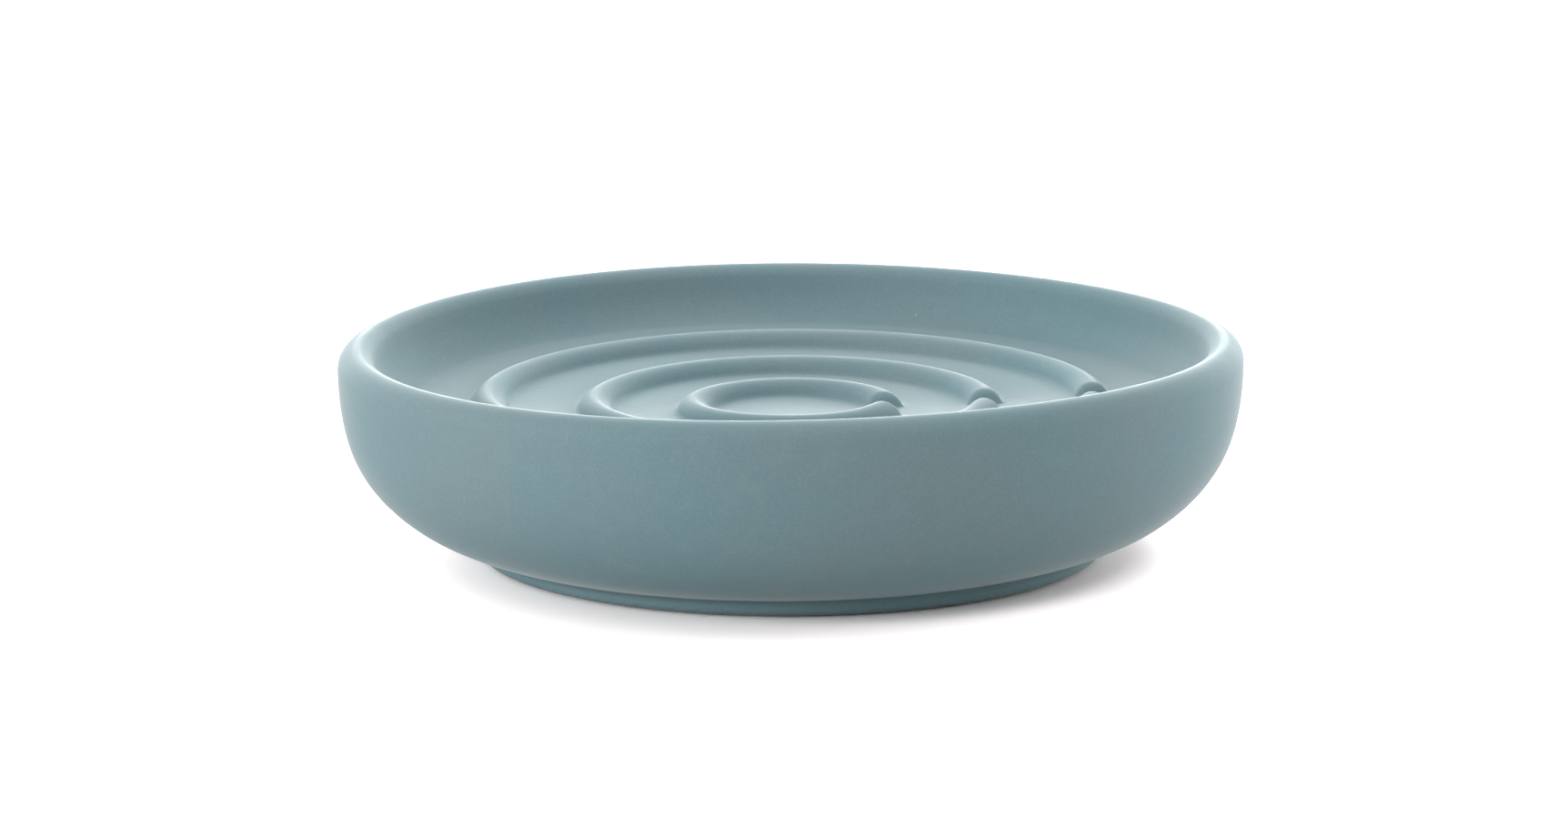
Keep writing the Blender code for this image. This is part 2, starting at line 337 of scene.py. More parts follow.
def foot_section(last_belly):
    """The blend into the foot's wall, its two rounded edges and the flat ring between them.

    The wall meets the belly at the height that the belly's curve has at the foot's radius.
    """
    low_belly = belly_curve(np.linspace(1, BLEND_START_SHARE, BELLY_STEPS))[0]
    joint = (FOOT_RADIUS, np.interp(FOOT_RADIUS, low_belly[:, 0], low_belly[:, 1]))
    outer_edge = (FOOT_RADIUS, foot_level)
    blend = rounded(last_belly, joint, outer_edge, FOOT_BLEND_RADIUS, FILLET_STEPS)
    outer = rounded(joint, outer_edge, mouth_edge, FOOT_OUTER_EDGE_RADIUS, 2 * EDGE_STEPS)
    inner = rounded(outer_edge, mouth_edge, mouth_top, FOOT_INNER_EDGE_RADIUS, EDGE_STEPS)
    inset = RING_INSET_SHARE * FOOT_INNER_EDGE_RADIUS
    ring = column([outer[-1][0] - inset, inner[0][0] + inset], foot_level)
    return np.concatenate([blend, outer, ring, inner])


belly_rows = belly_curve(np.linspace(0, BLEND_START_SHARE, BELLY_STEPS + 1)[1:])[0]
foot_rows = foot_section(belly_rows[-1])
print(len(belly_rows), "rows of belly,", len(foot_rows), "of foot")

# %% [markdown]
# ## The hollow
#
# Under its belly the casting is hollow: slip sticks to the plaster in an even skin, and the
# rest is poured out through the foot. So the hollow's wall is the belly's curve again, moved
# inwards by the skin, and its ceiling is the floor, moved down by the floor's thickness.

# %% Hollow, and the whole section
HOLLOW_STEPS = 20
CEILING_ROWS = 5


def ceiling_height(radius):
    """The underside of the floor: the dished floor less its thickness."""
    return floor_height(radius) - FLOOR_THICKNESS


def hollow_section():
    """In over the foot ring, up inside the belly at one skin's distance, and across the ceiling."""
    points, inward = belly_curve(np.linspace(1, 0, HOLLOW_STEPS + 1))
    side = points + WALL_THICKNESS * inward
    side = side[side[:, 1] < floor_edge_height - FLOOR_THICKNESS - HOLLOW_CORNER_RADIUS]
    corner = (side[-1][0], ceiling_height(side[-1][0]))
    middle = (mouth_radius, ceiling_height(mouth_radius))
    mouth = rounded(mouth_edge, mouth_top, side[0], FOOT_INNER_EDGE_RADIUS, EDGE_STEPS)
    bend = rounded(side[-1], corner, middle, HOLLOW_CORNER_RADIUS, FILLET_STEPS)
    ceiling_radii = np.linspace(mouth_radius, 0, CEILING_ROWS + 1)[:-1]
    return np.concatenate([mouth, side, bend, column(ceiling_radii, ceiling_height(ceiling_radii))])


hollow_rows = hollow_section()
section = np.concatenate([floor_rows, fillet_rows, lip_rows, belly_rows, foot_rows, hollow_rows])
rise = np.concatenate([ridge_rise(radii), np.zeros(len(section) - len(radii))])
print(len(section), "rows from the middle of the floor round to the hollow's ceiling")

# %% [markdown]
# ## The drain channel
#
# After casting, a channel is cut straight through the three ridges, so that water can run
# from ring to ring. Each cut end is sponged: a steep face with a small hollow at its foot
# and a rounded edge on top. The end is worked out in section, from the channel outwards. On
# the near side the cutter has pushed the clay up a little, and the ends swell into mounds.

# %% The ridges' cut ends
END_SLOPE = math.radians(66)
END_FOOT_RADIUS = 0.0004
END_EDGE_RADIUS = 0.0014
END_FOOT_STEPS = 5
END_FACE_STEPS = 4
END_EDGE_STEPS = 8
WIDTH_READ_AT_SHARE = 0.5
MOUND_SHARE = 0.18
MOUND_REACH = 0.0040


def end_profile():
    """Distance from the start of a cut end, and the share of the ridge's height there.

    An arc turns up from level to the face's slope, and another turns over to level again.
    The face between them is straight, and as long as the height that is left asks for.
    """
    turn_up = np.linspace(0, END_SLOPE, END_FOOT_STEPS + 1)
    foot = column(END_FOOT_RADIUS * np.sin(turn_up), END_FOOT_RADIUS * (1 - np.cos(turn_up)))
    turn_over = np.linspace(END_SLOPE, 0, END_EDGE_STEPS + 1)
    edge_heights = RIDGE_HEIGHT - END_EDGE_RADIUS * (1 - np.cos(turn_over))
    edge = column(-END_EDGE_RADIUS * np.sin(turn_over), edge_heights)
    edge[:, 0] += foot[-1][0] + (edge[0][1] - foot[-1][1]) / math.tan(END_SLOPE) - edge[0][0]
    face_shares = np.linspace(0, 1, END_FACE_STEPS + 1)[1:-1, None]
    face = foot[-1] + (edge[0] - foot[-1]) * face_shares
    profile = np.concatenate([foot, face, edge])
    return profile[:, 0], profile[:, 1] / RIDGE_HEIGHT


end_run, end_share = end_profile()
end_start = CHANNEL_WIDTH / 2 - np.interp(WIDTH_READ_AT_SHARE, end_share, end_run)
print("each cut end takes", round(1000 * end_run[-1], 2), "mm and starts",
      round(1000 * end_start, 2), "mm off the channel's middle")

# %% [markdown]
# ## The grid
#
# A grid of even angles would cut the ridges' ends into steps. So near the channel the
# grid's columns run parallel to it, at the very distances at which the cut ends bend. The
# rest of each row is shared out evenly. Inside a small circle the columns turn into spokes.

# %% Rows and columns
COLUMNS = 320
MIDDLE_COLUMNS = 8
SIDE_COLUMNS = 5
SPOKE_RADIUS = 0.009
CHANNEL_SIDE = 0.006
LONG_STRETCH = 0.0018
HOLD_DISTANCE = 0.00025


def held(rows):
    """Put a row close to both ends of each long stretch, so that its shading stays flat."""
    steps = np.diff(rows[:, :2], axis=0)
    lengths = np.hypot(*steps.T)
    result = [rows[:1]]
    for row, following, length in zip(rows, rows[1:], lengths):
        if length > LONG_STRETCH:
            share = HOLD_DISTANCE / length
            result.append(row + (following - row) * np.array([[share], [1 - share]]))
        result.append(following[None])
    return np.concatenate(result)


def column_angles(row_radii):
    """One row of angles for each radius: asin(distance / radius) near the channel, then even."""
    beyond = np.linspace(end_start + end_run[-1], CHANNEL_SIDE, SIDE_COLUMNS + 1)[1:]
    side = np.concatenate([end_start + end_run, beyond])
    middle = np.linspace(-end_start, end_start, MIDDLE_COLUMNS + 1)[1:-1]
    lines = np.concatenate([-side[::-1], middle, side])
    near = np.arcsin(lines / np.maximum(row_radii, SPOKE_RADIUS)[:, None])
    share = np.linspace(0, 1, COLUMNS - len(lines) + 2)[1:-1]
    far = near[:, -1:] + (2 * math.pi + near[:, :1] - near[:, -1:]) * share
    return np.concatenate([near, far], axis=1)


def swept(rows, angles):
    """The section swept round the axis: z = section + ridge * share of the cut end * (1 + mound).

    The share is read from the end's profile at the distance from the channel. The mound is
    a bell curve of that distance, on the near side alone.
    """
    row_radii, heights, rises = rows.T[:, :, None]
    from_channel = np.where(np.cos(angles) > 0, np.abs(row_radii * np.sin(angles)), np.inf)
    bell = np.exp(-(((from_channel - end_start - end_run[-1]) / MOUND_REACH) ** 2))
    mound = MOUND_SHARE * np.where(np.sin(angles) < 0, bell, 0)
    standing = np.interp(from_channel - end_start, end_run, end_share) * (1 + mound)
    turned = angles + CHANNEL_AZIMUTH
    x, y = row_radii * np.cos(turned), row_radii * np.sin(turned)
    return np.stack([x, y, heights + rises * standing], axis=-1)


rows = held(np.column_stack([section, rise]))
grid = swept(rows, column_angles(rows[:, 0]))
print("grid of", grid.shape[0], "rows by", grid.shape[1], "columns")

# %% [markdown]
# ## What the kiln did
#
# No fired dish is quite true. In the photo the belly leans by a quarter of a degree to the
# left, and the lip leans with it, sags and waves by a few tenths of a millimetre. The floor
# stays nearly level, but is lower along the channel than across it. All three are put in
# here. The lean grows from nothing under the foot, which stays flat, and it gives way to the
# floor's and the lip's own shapes higher up. The CAD solids stay round and level, and the
# warped dish stays inside their box.

# %% The warp
LEAN = math.radians(0.27)
LEAN_GROWS_OVER = 0.0022
OWN_SHAPE_STARTS_AT = 0.006
OWN_SHAPE_FULL_BELOW_FLOOR = 0.001
LIP_SAG = -0.00046
LIP_WAVE_ONCE = (0.00032, 0.00012)
LIP_WAVE_TWICE = (-0.00021, -0.00026)
LIP_STARTS_AT = 0.042
FLOOR_SAG = -0.00015
FLOOR_RISE = 0.00007
FLOOR_BEND = (-0.00023, -0.00003)
FLOOR_READ_AT = 0.040
FLOOR_EASE = 0.008


def smooth_step(value, low, high):
    """0 below low, 1 above high, and 3t^2 - 2t^3 between them."""
    t = np.clip((value - low) / (high - low), 0, 1)
    return t * t * (3 - 2 * t)


def floor_shift(x, y):
    """Sag + rise * (r / R)^2 + bend, where the bend makes a saddle of the floor.

    The bend is r^2 (c * cos 2a + s * sin 2a) / (R * sqrt(r^2 + ease^2)), so it grows with r
    and is smooth at the axis.
    """
    squares = x * x + y * y
    saddle = FLOOR_BEND[0] * (x * x - y * y) + FLOOR_BEND[1] * 2 * x * y
    bend = saddle / (FLOOR_READ_AT * np.sqrt(squares + FLOOR_EASE**2))
    return FLOOR_SAG + FLOOR_RISE * squares / FLOOR_READ_AT**2 + bend


def lip_shift(x, y):
    """A sag plus waves of c * cos(n a) + s * sin(n a), for n = 1 and 2."""
    azimuth = np.arctan2(y, x)
    shift = LIP_SAG
    for times, (cosine, sine) in enumerate((LIP_WAVE_ONCE, LIP_WAVE_TWICE), start=1):
        shift = shift + cosine * np.cos(times * azimuth) + sine * np.sin(times * azimuth)
    return shift


def warped(points):
    """z + (1 - u) * lean + u * ((1 - w) * floor shift + w * lip shift).

    Here u goes from 0 to 1 with height, up to just below the floor, and w does with radius,
    out to the crest of the lip.
    """
    x, y, z = points[..., 0], points[..., 1], points[..., 2]
    lean = x * math.tan(LEAN) * np.clip((z - foot_level) / LEAN_GROWS_OVER, 0, 1)
    at_lip = smooth_step(np.hypot(x, y), LIP_STARTS_AT, crest_radius)
    own = (1 - at_lip) * floor_shift(x, y) + at_lip * lip_shift(x, y)
    high = smooth_step(z, OWN_SHAPE_STARTS_AT, floor_centre_height - OWN_SHAPE_FULL_BELOW_FLOOR)
    return np.stack([x, y, z + lean + high * (own - lean)], axis=-1)


grid = warped(grid)
crown = grid[..., 2].max()
print("highest point of the lip", round(1000 * crown, 2), "mm, box", round(1000 * rim_height, 2), "mm")

# %% [markdown]
# ## From a grid to a closed mesh
#
# The grid starts beside the axis on the bowl's floor and ends beside it under the ceiling of
# the hollow, so one point in the middle of each closes the surface. The same function makes
# the pads, which are small turned discs.

# %% Closing a grid
def closed_mesh(name, surface, first_pole, last_pole):
    """A mesh of quads between the grid's rows, with a fan of triangles at each pole."""
    row_count, column_count = surface.shape[:2]
    points = np.concatenate([[first_pole], surface.reshape(-1, 3), [last_pole]])
    corner = 1 + np.arange(row_count * column_count).reshape(row_count, column_count)
    beside = np.roll(corner, -1, axis=1)
    quads = np.stack([corner[:-1], corner[1:], beside[1:], beside[:-1]], axis=-1).reshape(-1, 4)
    first_fan = np.stack([np.zeros(column_count, int), corner[0], beside[0]], axis=-1)
    last_fan = np.stack([np.full(column_count, len(points) - 1), beside[-1], corner[-1]], axis=-1)
    mesh = bpy.data.meshes.new(name)
    mesh.from_pydata(points.tolist(), [], first_fan.tolist() + quads.tolist() + last_fan.tolist())
    mesh.polygons.foreach_set("use_smooth", np.ones(len(mesh.polygons), bool))
    mesh.update()
    return mesh


def placed(name, data):
    """An object at the origin, linked into the scene."""
    made = bpy.data.objects.new(name, data)
    bpy.context.scene.collection.objects.link(made)
    return made


pole_heights = (floor_centre_height, floor_centre_height - FLOOR_THICKNESS)
floor_pole, ceiling_pole = warped(np.array([[0, 0, height] for height in pole_heights]))
dish = placed("fired_dish", closed_mesh("fired_dish", grid, floor_pole, ceiling_pole))
print("dish:", len(dish.data.vertices), "points,", len(dish.data.polygons), "faces")

# %% [markdown]
# ## Pads
#
# A silicone disc is glued into each of four pockets in the foot ring. Its edges are softly
# rounded, and it reaches up to the roof of its pocket, less a thin layer of glue. It stands
# where its CAD node does, so its place and width are read from that.

# %% Turned discs
DISC_COLUMNS = 72
DISC_EDGE_STEPS = 8
DISC_MIDDLE_SHARE = 0.5
PAD_EDGE_RADIUS = 0.00035
GLUE_LAYER = 0.00002


def disc_grid(centre, radius, low, high, edge_radius):
    """A disc's section, from its top round both edges to its underside, swept round its axis."""
    top_edge = rounded((0, high), (radius, high), (radius, low), edge_radius, DISC_EDGE_STEPS)
    low_edge = rounded((radius, high), (radius, low), (0, low), edge_radius, DISC_EDGE_STEPS)
    inner = column(radius * DISC_MIDDLE_SHARE, [high, low])
    profile = np.concatenate([inner[:1], top_edge, low_edge, inner[1:]])
    angles = np.linspace(0, 2 * math.pi, DISC_COLUMNS, endpoint=False)
    across, height = profile[:, :1], profile[:, 1:]
    x, y = centre.x + across * np.cos(angles), centre.y + across * np.sin(angles)
    return np.stack([x, y, height + 0 * angles], axis=-1)


def disc(name, centre, radius, low, high, edge_radius):
    """A turned disc as an object."""
    surface = disc_grid(centre, radius, low, high, edge_radius)
    poles = [(centre.x, centre.y, height) for height in (high, low)]
    return placed(name, closed_mesh(name, surface, *poles))


def pad_place(name):
    """A pad's centre, radius and underside, and the roof of its pocket, from its CAD node."""
    low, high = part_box(name)
    return (low + high) / 2, (high.x - low.x) / 2, low.z, high.z + POCKET_CLEARANCE


pads = []
for name in pad_names:
    centre, radius, underside, roof = pad_place(name)
    pads.append(disc("moulded_" + name, centre, radius, underside, roof - GLUE_LAYER, PAD_EDGE_RADIUS))
print("pads:", [pad.name for pad in pads])

# %% [markdown]
# ## Pockets
#
# The pockets are cut into the foot ring with a Boolean, as a tool would press them. The
# cutters are discs too. They run a little below the ring, so that no skin is left over the
# mouth of a pocket, and they go once the cut is made.

# %% Cutting the pockets
CUTTER_OVERRUN = 0.001
POCKET_EDGE_RADIUS = 0.00005
POCKET_SHARP_ANGLE = math.radians(40)

pocket_tools = bpy.data.collections.new("pocket_tools")
for name in pad_names:
    centre, radius, _, roof = pad_place(name)
    width, start = radius + POCKET_CLEARANCE, foot_level - CUTTER_OVERRUN
    pocket_tools.objects.link(disc("pocket", centre, width, start, roof, POCKET_EDGE_RADIUS))
cut = dish.modifiers.new("pockets", "BOOLEAN")
cut.operand_type = "COLLECTION"
cut.collection = pocket_tools
cut.operation = "DIFFERENCE"
cut.solver = "MANIFOLD"
with_pockets = bpy.data.meshes.new_from_object(dish.evaluated_get(bpy.context.evaluated_depsgraph_get()))
dish.modifiers.clear()
dish.data = with_pockets
for cutter in list(pocket_tools.objects):
    bpy.data.objects.remove(cutter)
bpy.data.collections.remove(pocket_tools)
with_pockets.set_sharp_from_angle(angle=POCKET_SHARP_ANGLE)
triangle_count = sum(len(face.vertices) - 2 for face in with_pockets.polygons)
print("dish after cutting:", len(with_pockets.vertices), "points,", triangle_count, "triangles")

# %% [markdown]
# ## Masks that the materials read
#
# Two things about the finish depend on where a point is. The crests of the ridges and the lip
# get a painted highlight: a paler colour that stands in for the light that catches them from
# behind. Inside the hollow there is no coating: spray only drifts a few millimetres in, and
# then the bare porcelain shows. Both are stored on the mesh, so that the materials can read
# them by name.

# %% Crest highlight and bare clay as attributes
CREST_HIGHLIGHT_SPREAD = 0.0012
HIGHLIGHT_STARTS_SHARE = 0.3
RIDGE_HIGHLIGHT_SHARE = 0.5
FULL_SPRAY_HEIGHT = 0.0005
SPRAY_REACH = 0.006


def mesh_points(mesh):
    """The mesh's points as an array of three columns."""
    points = np.empty(len(mesh.vertices) * 3, np.float32)
    mesh.vertices.foreach_get("co", points)
    return points.reshape(-1, 3).astype(float)


def store(mesh, name, values):
    """Keep one number for each point under a name."""
    mesh.attributes.new(name, "FLOAT", "POINT").data.foreach_set("value", values.astype(np.float32))
    print(name, "covers", round(100 * values.mean(), 1), "% of the points")


points = mesh_points(dish.data)
radius, height = np.hypot(points[:, 0], points[:, 1]), points[:, 2]
# The crest mask is a painted highlight: full on the lip's crest, half on the ridges' tops.
to_crests = np.abs(radius[:, None] - np.append(ridge_places, crest_radius))
crest_highlights = np.exp(-((to_crests / CREST_HIGHLIGHT_SPREAD) ** 2)) * np.array([RIDGE_HIGHLIGHT_SHARE] * len(ridge_places) + [1])
on_top = smooth_step(height - floor_height(radius), HIGHLIGHT_STARTS_SHARE * RIDGE_HEIGHT, RIDGE_HEIGHT)
store(dish.data, "crest", crest_highlights.max(axis=1) * on_top)

belly_radius = np.interp(height, belly_rows[::-1, 1], belly_rows[::-1, 0])
within = (radius < belly_radius - WALL_THICKNESS / 2) & (height < floor_height(radius) - FLOOR_THICKNESS / 2)
past_spray = smooth_step(height, foot_level + FULL_SPRAY_HEIGHT, foot_level + SPRAY_REACH)
store(dish.data, "bare", within * past_spray)

# %% [markdown]
# ## Node helpers
#
# The materials are built from nodes. A few short functions keep that readable. They add a
# node with its settings and inputs, do arithmetic, mix colours, open a node group or a
# material, and tell light that is seen from light that is on its way.

# %% Functions that build nodes
def feed(tree, node, inputs):
    """Give each input, by name or number, a socket to link or a value to hold."""
    for socket, value in dict(inputs).items():
        if isinstance(value, bpy.types.NodeSocket):
            tree.links.new(value, node.inputs[socket])
        else:
            node.inputs[socket].default_value = value


def add(tree, kind, inputs=(), **settings):
    """Add a node with its settings, and feed its inputs."""
    made = tree.nodes.new(kind)
    for name, value in settings.items():
        setattr(made, name, value)
    feed(tree, made, inputs)
    return made


def maths(tree, operation, *values, clamp=False):
    """The result of one Math node."""
    inputs = dict(enumerate(values))
    return add(tree, "ShaderNodeMath", inputs, operation=operation, use_clamp=clamp).outputs[0]


def added(tree, value, weight, base):
    """base + weight * value."""
    return maths(tree, "ADD", base, maths(tree, "MULTIPLY", value, weight))


def blended(tree, share, first, second):
    """A mix of two colours."""
    inputs = {"Factor": share, 6: first, 7: second}
    return add(tree, "ShaderNodeMix", inputs, data_type="RGBA").outputs[2]


def spread(tree, value, low, high, to_low=0.0, to_high=1.0):
    """Map a range of values smoothly to another."""
    inputs = {0: value, 1: low, 2: high, 3: to_low, 4: to_high}
    return add(tree, "ShaderNodeMapRange", inputs, interpolation_type="SMOOTHSTEP").outputs[0]


def noise(tree, place, scale, detail, **others):
    """The outputs of one Noise Texture."""
    inputs = {"Vector": place, "Scale": scale, "Detail": detail, **others}
    return add(tree, "ShaderNodeTexNoise", inputs).outputs


def millimetres(tree):
    """Object coordinates times 1000, so that every scale in a material is per millimetre."""
    source = add(tree, "ShaderNodeTexCoord").outputs["Object"]
    return add(tree, "ShaderNodeVectorMath", {0: source, "Scale": 1000.0}, operation="SCALE").outputs[0]


def seen_ray(tree):
    """1 for a ray from the camera, straight or by way of gloss or glass, and 0 for other light."""
    path = add(tree, "ShaderNodeLightPath").outputs
    straight_or_gloss = maths(tree, "MAXIMUM", path["Is Camera Ray"], path["Is Glossy Ray"])
    return maths(tree, "MAXIMUM", straight_or_gloss, path["Is Transmission Ray"])


print("node helpers are ready")

# %% [markdown]
# ## Groups and materials
#
# Three effects are used by more than one material, so each is a node group with named
# sockets. The shader itself stays in the material.

# %% Opening a group or a material
BUMP_DISTANCE = 0.001


def open_group(name, inputs, outputs):
    """A node group with named sockets: inputs and outputs map a name to its type and value."""
    tree = bpy.data.node_groups.new(name, "ShaderNodeTree")
    for sockets, direction in ((inputs, "INPUT"), (outputs, "OUTPUT")):
        for socket, (kind, value) in sockets.items():
            made = tree.interface.new_socket(socket, in_out=direction, socket_type="NodeSocket" + kind)
            if value is not None:
                made.default_value = value
    return tree, add(tree, "NodeGroupInput").outputs


def placed_group(tree, group, inputs):
    """Put a group into a material with its own values, and return its outputs."""
    return add(tree, "ShaderNodeGroup", inputs, node_tree=group).outputs


def new_material(name, kind="ShaderNodeBsdfPrincipled"):
    """An empty material with its shader and output, ready for links."""
    made = bpy.data.materials.new(name)
    made.use_nodes = True
    made.node_tree.nodes.clear()
    shader = add(made.node_tree, kind)
    add(made.node_tree, "ShaderNodeOutputMaterial", {"Surface": shader.outputs[0]})
    return made, made.node_tree, shader


def relief_normal(tree, relief, strength):
    """The normal of a Bump node over a relief."""
    inputs = {"Strength": strength, "Distance": BUMP_DISTANCE, "Height": relief}
    return add(tree, "ShaderNodeBump", inputs).outputs[0]


print("a bump of 1 stands", 1000 * BUMP_DISTANCE, "mm high")

# %% [markdown]
# ## Grain
#
# A matt sprayed finish is a skin of fine droplets that have half run together. It shows as
# a pebble grain of about a quarter of a millimetre: a fine noise, with a hollow wherever a
# droplet's cell ends.

# %% Grain as a node group
DROPLET_DEPTH = 0.6

grain_group, given = open_group(
    "fine_grain",
    {"Place": ("Vector", None), "Size": ("Float", 0.25)},
    {"Height": ("Float", None), "Tone": ("Float", None)},
)
scale = maths(grain_group, "DIVIDE", 1.0, given["Size"])
droplet_cells = add(grain_group, "ShaderNodeTexVoronoi", {"Vector": given["Place"], "Scale": scale})
droplets = droplet_cells.outputs["Distance"]
grit = noise(grain_group, given["Place"], scale, 1.0, Roughness=0.6)["Fac"]
pebbles = maths(grain_group, "SUBTRACT", grit, maths(grain_group, "MULTIPLY", droplets, DROPLET_DEPTH))
add(grain_group, "NodeGroupOutput", {"Height": pebbles, "Tone": grit})
print("group:", grain_group.name)

# %% [markdown]
# ## Clouds
#
# Over the grain lie broad, faint clouds where the gun passed more or less often, and
# smaller ones where the mist was thicker.

# %% Clouds as a node group
SMALL_CLOUDS_TO_A_BROAD_ONE = 9.0

cloud_group, given = open_group(
    "spray_clouds",
    {"Place": ("Vector", None), "Size": ("Float", 20.0)},
    {"Broad": ("Float", None), "Small": ("Float", None)},
)
broad_scale = maths(cloud_group, "DIVIDE", 1.0, given["Size"])
small_scale = maths(cloud_group, "MULTIPLY", broad_scale, SMALL_CLOUDS_TO_A_BROAD_ONE)
broad = noise(cloud_group, given["Place"], broad_scale, 2.0, Roughness=0.5, Distortion=0.4)["Fac"]
small = noise(cloud_group, given["Place"], small_scale, 4.0, Roughness=0.6)["Fac"]
add(cloud_group, "NodeGroupOutput", {"Broad": broad, "Small": small})
print("group:", cloud_group.name)

# %% [markdown]
# ## Dust
#
# A dish that has stood in a room has a few specks of white dust. Each cell of a Voronoi
# pattern holds at most one speck: the cell's colour says whether it does, and how large the
# speck is. The pattern is bent a little first, so that no speck is round.

# %% Dust as a node group
SPECK_BENDS_PER_MM = 6.0
SPECK_BEND = (0.12, 0.12, 0.12)
SMALLEST_SPECK_SHARE = 0.4
SPECK_EDGE_SHARE = 0.5

dust_group, given = open_group(
    "dust_specks",
    {"Place": ("Vector", None), "Spacing": ("Float", 3.0), "Size": ("Float", 0.08), "Share": ("Float", 0.3)},
    {"Mask": ("Float", None)},
)
bend = noise(dust_group, given["Place"], SPECK_BENDS_PER_MM, 1.0)["Color"]
crooked = add(dust_group, "ShaderNodeVectorMath", {0: bend, 1: SPECK_BEND, 2: given["Place"]},
              operation="MULTIPLY_ADD").outputs[0]
cells_per_mm = maths(dust_group, "DIVIDE", 1.0, given["Spacing"])
cells = add(dust_group, "ShaderNodeTexVoronoi", {"Vector": crooked, "Scale": cells_per_mm}).outputs
away = maths(dust_group, "MULTIPLY", cells["Distance"], given["Spacing"])
pick = add(dust_group, "ShaderNodeSeparateColor", {0: cells["Color"]}).outputs
size_share = maths(dust_group, "ADD", pick[1], SMALLEST_SPECK_SHARE)
own_size = maths(dust_group, "MULTIPLY", given["Size"], size_share)
spot = maths(dust_group, "DIVIDE", maths(dust_group, "SUBTRACT", own_size, away), own_size, clamp=True)
kept = maths(dust_group, "LESS_THAN", pick[0], given["Share"])
speck = maths(dust_group, "MULTIPLY", spread(dust_group, spot, 0.0, SPECK_EDGE_SHARE), kept)
add(dust_group, "NodeGroupOutput", {"Mask": speck})
print("group:", dust_group.name)

# %% [markdown]
# ## The coated porcelain: what its masks are
#
# The order calls it porcelain, and under its skin it is. What the photo shows is a matt,
# grey-teal coating with a soft touch. It hides the clay altogether. The bare clay inside
# the hollow is the same material with the coating masked away, because the casting is one
# piece. More dust lies on what faces up, and the edge of the spray is frayed by the grain.

# %% Grain, clouds, dust and masks on the dish
GRAIN_SIZE = 0.28
CLOUD_SIZE = 26.0
SPECK_SPACING = 3.4
SPECK_SIZE = 0.10
FACING_UP_ZONE = (-0.2, 0.9)
SPECKS_BELOW_AND_ON_TOP = (0.10, 0.42)
SPRAY_EDGE_FRAY = 0.25
SPRAY_EDGE_ZONE = (0.15, 0.95)

porcelain, tree, shader = new_material("sprayed_porcelain")
place = millimetres(tree)
crest = add(tree, "ShaderNodeAttribute", attribute_name="crest").outputs["Fac"]
bare = add(tree, "ShaderNodeAttribute", attribute_name="bare").outputs["Fac"]
grain = placed_group(tree, grain_group, {"Place": place, "Size": GRAIN_SIZE})
clouds = placed_group(tree, cloud_group, {"Place": place, "Size": CLOUD_SIZE})
normal = add(tree, "ShaderNodeNewGeometry").outputs["Normal"]
facing_up = add(tree, "ShaderNodeSeparateXYZ", {0: normal}).outputs[2]
dust_share = spread(tree, facing_up, *FACING_UP_ZONE, *SPECKS_BELOW_AND_ON_TOP)
dust = placed_group(tree, dust_group, {
    "Place": place, "Spacing": SPECK_SPACING, "Size": SPECK_SIZE, "Share": dust_share})["Mask"]
frayed = added(tree, grain["Tone"], SPRAY_EDGE_FRAY, bare)
edge_of_spray = spread(tree, frayed, *SPRAY_EDGE_ZONE)
print("specks", SPECK_SPACING, "mm apart, grain of", GRAIN_SIZE, "mm")

# %% [markdown]
# ## The coated porcelain: colour
#
# The colours are laid over each other in this order: the clouds and the grain of the spray,
# a painted highlight on the crests of the ridges and the lip, dust, and clay where there is
# no coat. Each layer is a mask with its strength, and a colour.

# %% Colours in layers
COATING = (0.128, 0.222, 0.246, 1)
# The pale colour serves the clouds, the grain and the painted highlight on the crests.
COATING_PALE = (0.205, 0.305, 0.326, 1)
COATING_WARM = (0.146, 0.220, 0.240, 1)
BARE_CLAY = (0.640, 0.620, 0.580, 1)
DUST = (0.780, 0.790, 0.790, 1)
BROAD_CLOUD_ZONE = (0.35, 0.65)
SMALL_CLOUD_ZONE = (0.40, 0.75)
GRAIN_ZONE = (0.40, 0.70)
SMALL_CLOUD_STRENGTH = 0.20
GRAIN_STRENGTH = 0.28
CREST_HIGHLIGHT_STRENGTH = 0.60

layers = [
    (spread(tree, clouds["Broad"], *BROAD_CLOUD_ZONE), COATING_WARM),
    (spread(tree, clouds["Small"], *SMALL_CLOUD_ZONE, 0.0, SMALL_CLOUD_STRENGTH), COATING_PALE),
    (spread(tree, grain["Tone"], *GRAIN_ZONE, 0.0, GRAIN_STRENGTH), COATING_PALE),
    # Painted highlight: the crests are paler, as if light from behind catches them.
    (maths(tree, "MULTIPLY", crest, CREST_HIGHLIGHT_STRENGTH), COATING_PALE),
    (dust, DUST),
    (edge_of_spray, BARE_CLAY),
]
colour = COATING
for mask, over in layers:
    colour = blended(tree, mask, colour, over)
print("coating", COATING[:3], "under", len(layers), "layers")

# %% [markdown]
# ## The coated porcelain: shine and relief
#
# The coat scatters nearly all the light and still mirrors the white room at a grazing
# angle, most of all on the level parts of the bowl, which soap and water rub smoother. A
# little sheen stands for the soft touch. Grain, dust and clouds also stand up a few
# hundredths of a millimetre, which the Bump node shows.

# %% Roughness, relief and shader
ROUGHNESS_CLOUD_ZONE = (0.3, 0.7)
COAT_ROUGHNESS = (0.71, 0.79)
DUST_ROUGHER = 0.20
CLAY_ROUGHER = 0.25
GLANCE_ZONE = (0.76, 0.90)
GLANCE_SMOOTHER = 0.30
LEVEL_ZONE = (0.95, 0.99)
GRAIN_RELIEF = 0.010
DUST_RELIEF = 0.03
CLOUD_RELIEF = 0.02
COAT_BUMP = 0.6

